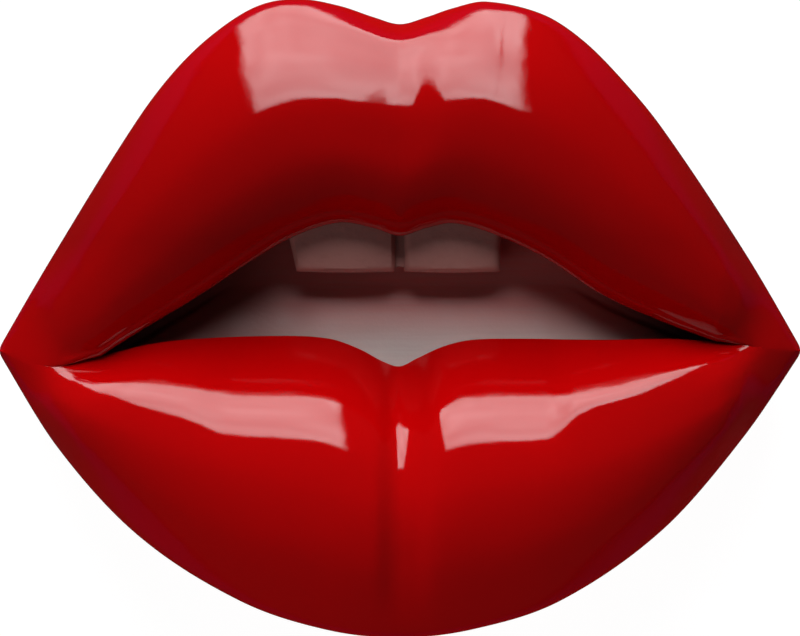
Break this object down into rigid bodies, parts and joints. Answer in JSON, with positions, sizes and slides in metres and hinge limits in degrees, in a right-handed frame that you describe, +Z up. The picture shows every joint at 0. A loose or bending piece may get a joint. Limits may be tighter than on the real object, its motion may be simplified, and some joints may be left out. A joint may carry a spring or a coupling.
{
  "type": "novelty telephone",
  "caption": "One-piece corded telephone shaped as glossy parted lips with two teeth; receiver, microphone, keypad and hook plunger in its underside.",
  "frame": {"origin": "centre of the footprint box on the table under the four feet", "axes": "+X from the left corner of the mouth to the right corner, +Y from the lower lip to the upper lip, +Z up from the table, out of the mouth"},
  "size_m": [0.216, 0.1716, 0.058],
  "materials": {
    "lip_gloss": "deep red high-gloss lacquered ABS",
    "cover_gloss": "red moulded ABS, slightly duller than the lips",
    "liner_white": "matte off-white vacuum-formed sheet",
    "tooth_gloss": "glossy ivory white moulding",
    "bezel_black": "fine-textured black ABS",
    "key_white": "satin off-white key plastic",
    "key_red": "satin red key plastic",
    "membrane_rubber": "grey silicone rubber",
    "board": "tan phenolic circuit board",
    "part_black": "black moulded component body",
    "transformer": "copper winding and iron core",
    "foam": "black foam",
    "foot_rubber": "matte black rubber",
    "bright_steel": "zinc-plated steel",
    "jack_plastic": "grey modular jack plastic",
    "lead_plastic": "yellow insulated wire"
  },
  "bodies": {
    "case": {"front_shell": "lip_gloss", "rear_cover": "cover_gloss", "mouth_liner": "liner_white", "front_teeth": "tooth_gloss", "keypad_bezel": "bezel_black", "keypad_membrane": "membrane_rubber", "main_circuit_board": "board", "dialler_chip": "part_black", "speech_transformer": "transformer", "capacitor_1": "part_black", "capacitor_2": "part_black", "receiver_capsule": "part_black", "receiver_gasket": "foam", "receiver_retainer": "key_white", "microphone_capsule": "bright_steel", "microphone_boot": "foot_rubber", "ringer_disc": "part_black", "hook_spring": "bright_steel", "hook_microswitch": "part_black", "line_jack": "jack_plastic", "ringer_switch_housing": "bright_steel", "dial_mode_housing": "bright_steel", "ballast_plate": "bright_steel", "receiver_lead": "lead_plastic", "microphone_lead": "lead_plastic", "ringer_lead": "lead_plastic", "line_lead": "lead_plastic", "rubber_foot_1": "foot_rubber", "case_screw_1": "bright_steel", "liner_screw_1": "bright_steel", "rubber_foot_2": "foot_rubber", "case_screw_2": "bright_steel", "liner_screw_2": "bright_steel", "rubber_foot_3": "foot_rubber", "case_screw_3": "bright_steel", "liner_screw_3": "bright_steel", "rubber_foot_4": "foot_rubber", "case_screw_4": "bright_steel", "liner_screw_4": "bright_steel", "board_screw_1": "bright_steel", "board_screw_2": "bright_steel"},
    "key_1": {"key_1": "key_white"},
    "key_2": {"key_2": "key_white"},
    "key_3": {"key_3": "key_white"},
    "key_4": {"key_4": "key_white"},
    "key_5": {"key_5": "key_white"},
    "key_6": {"key_6": "key_white"},
    "key_7": {"key_7": "key_white"},
    "key_8": {"key_8": "key_white"},
    "key_9": {"key_9": "key_white"},
    "key_star": {"key_star": "key_white"},
    "key_0": {"key_0": "key_white"},
    "key_hash": {"key_hash": "key_white"},
    "key_flash": {"key_flash": "key_red"},
    "key_mute": {"key_mute": "key_red"},
    "key_redial": {"key_redial": "key_red"},
    "hook_plunger": {"hook_plunger": "key_white"},
    "ringer_switch_knob": {"ringer_switch_knob": "key_white"},
    "dial_mode_knob": {"dial_mode_knob": "key_white"}
  },
  "joints": [
    {"name": "key_1_press", "type": "slide", "parent": "case", "child": "key_1", "axis": [0, 0, 1], "range_m": [0, 0.0014], "stiffness_N_per_m": 250, "springref_m": -0.0012},
    {"name": "key_2_press", "type": "slide", "parent": "case", "child": "key_2", "axis": [0, 0, 1], "range_m": [0, 0.0014], "stiffness_N_per_m": 250, "springref_m": -0.0012},
    {"name": "key_3_press", "type": "slide", "parent": "case", "child": "key_3", "axis": [0, 0, 1], "range_m": [0, 0.0014], "stiffness_N_per_m": 250, "springref_m": -0.0012},
    {"name": "key_4_press", "type": "slide", "parent": "case", "child": "key_4", "axis": [0, 0, 1], "range_m": [0, 0.0014], "stiffness_N_per_m": 250, "springref_m": -0.0012},
    {"name": "key_5_press", "type": "slide", "parent": "case", "child": "key_5", "axis": [0, 0, 1], "range_m": [0, 0.0014], "stiffness_N_per_m": 250, "springref_m": -0.0012},
    {"name": "key_6_press", "type": "slide", "parent": "case", "child": "key_6", "axis": [0, 0, 1], "range_m": [0, 0.0014], "stiffness_N_per_m": 250, "springref_m": -0.0012},
    {"name": "key_7_press", "type": "slide", "parent": "case", "child": "key_7", "axis": [0, 0, 1], "range_m": [0, 0.0014], "stiffness_N_per_m": 250, "springref_m": -0.0012},
    {"name": "key_8_press", "type": "slide", "parent": "case", "child": "key_8", "axis": [0, 0, 1], "range_m": [0, 0.0014], "stiffness_N_per_m": 250, "springref_m": -0.0012},
    {"name": "key_9_press", "type": "slide", "parent": "case", "child": "key_9", "axis": [0, 0, 1], "range_m": [0, 0.0014], "stiffness_N_per_m": 250, "springref_m": -0.0012},
    {"name": "key_star_press", "type": "slide", "parent": "case", "child": "key_star", "axis": [0, 0, 1], "range_m": [0, 0.0014], "stiffness_N_per_m": 250, "springref_m": -0.0012},
    {"name": "key_0_press", "type": "slide", "parent": "case", "child": "key_0", "axis": [0, 0, 1], "range_m": [0, 0.0014], "stiffness_N_per_m": 250, "springref_m": -0.0012},
    {"name": "key_hash_press", "type": "slide", "parent": "case", "child": "key_hash", "axis": [0, 0, 1], "range_m": [0, 0.0014], "stiffness_N_per_m": 250, "springref_m": -0.0012},
    {"name": "key_flash_press", "type": "slide", "parent": "case", "child": "key_flash", "axis": [0, 0, 1], "range_m": [0, 0.0014], "stiffness_N_per_m": 250, "springref_m": -0.0012},
    {"name": "key_mute_press", "type": "slide", "parent": "case", "child": "key_mute", "axis": [0, 0, 1], "range_m": [0, 0.0014], "stiffness_N_per_m": 250, "springref_m": -0.0012},
    {"name": "key_redial_press", "type": "slide", "parent": "case", "child": "key_redial", "axis": [0, 0, 1], "range_m": [0, 0.0014], "stiffness_N_per_m": 250, "springref_m": -0.0012},
    {"name": "hook_plunger_release", "type": "slide", "parent": "case", "child": "hook_plunger", "axis": [0, 0, -1], "range_m": [0, 0.004], "stiffness_N_per_m": 60, "springref_m": 0.012, "deforming": ["hook_spring"]},
    {"name": "ringer_switch_slide", "type": "slide", "parent": "case", "child": "ringer_switch_knob", "axis": [1, 0, 0], "range_m": [0, 0.004]},
    {"name": "dial_mode_slide", "type": "slide", "parent": "case", "child": "dial_mode_knob", "axis": [1, 0, 0], "range_m": [0, 0.004]}
  ]
}
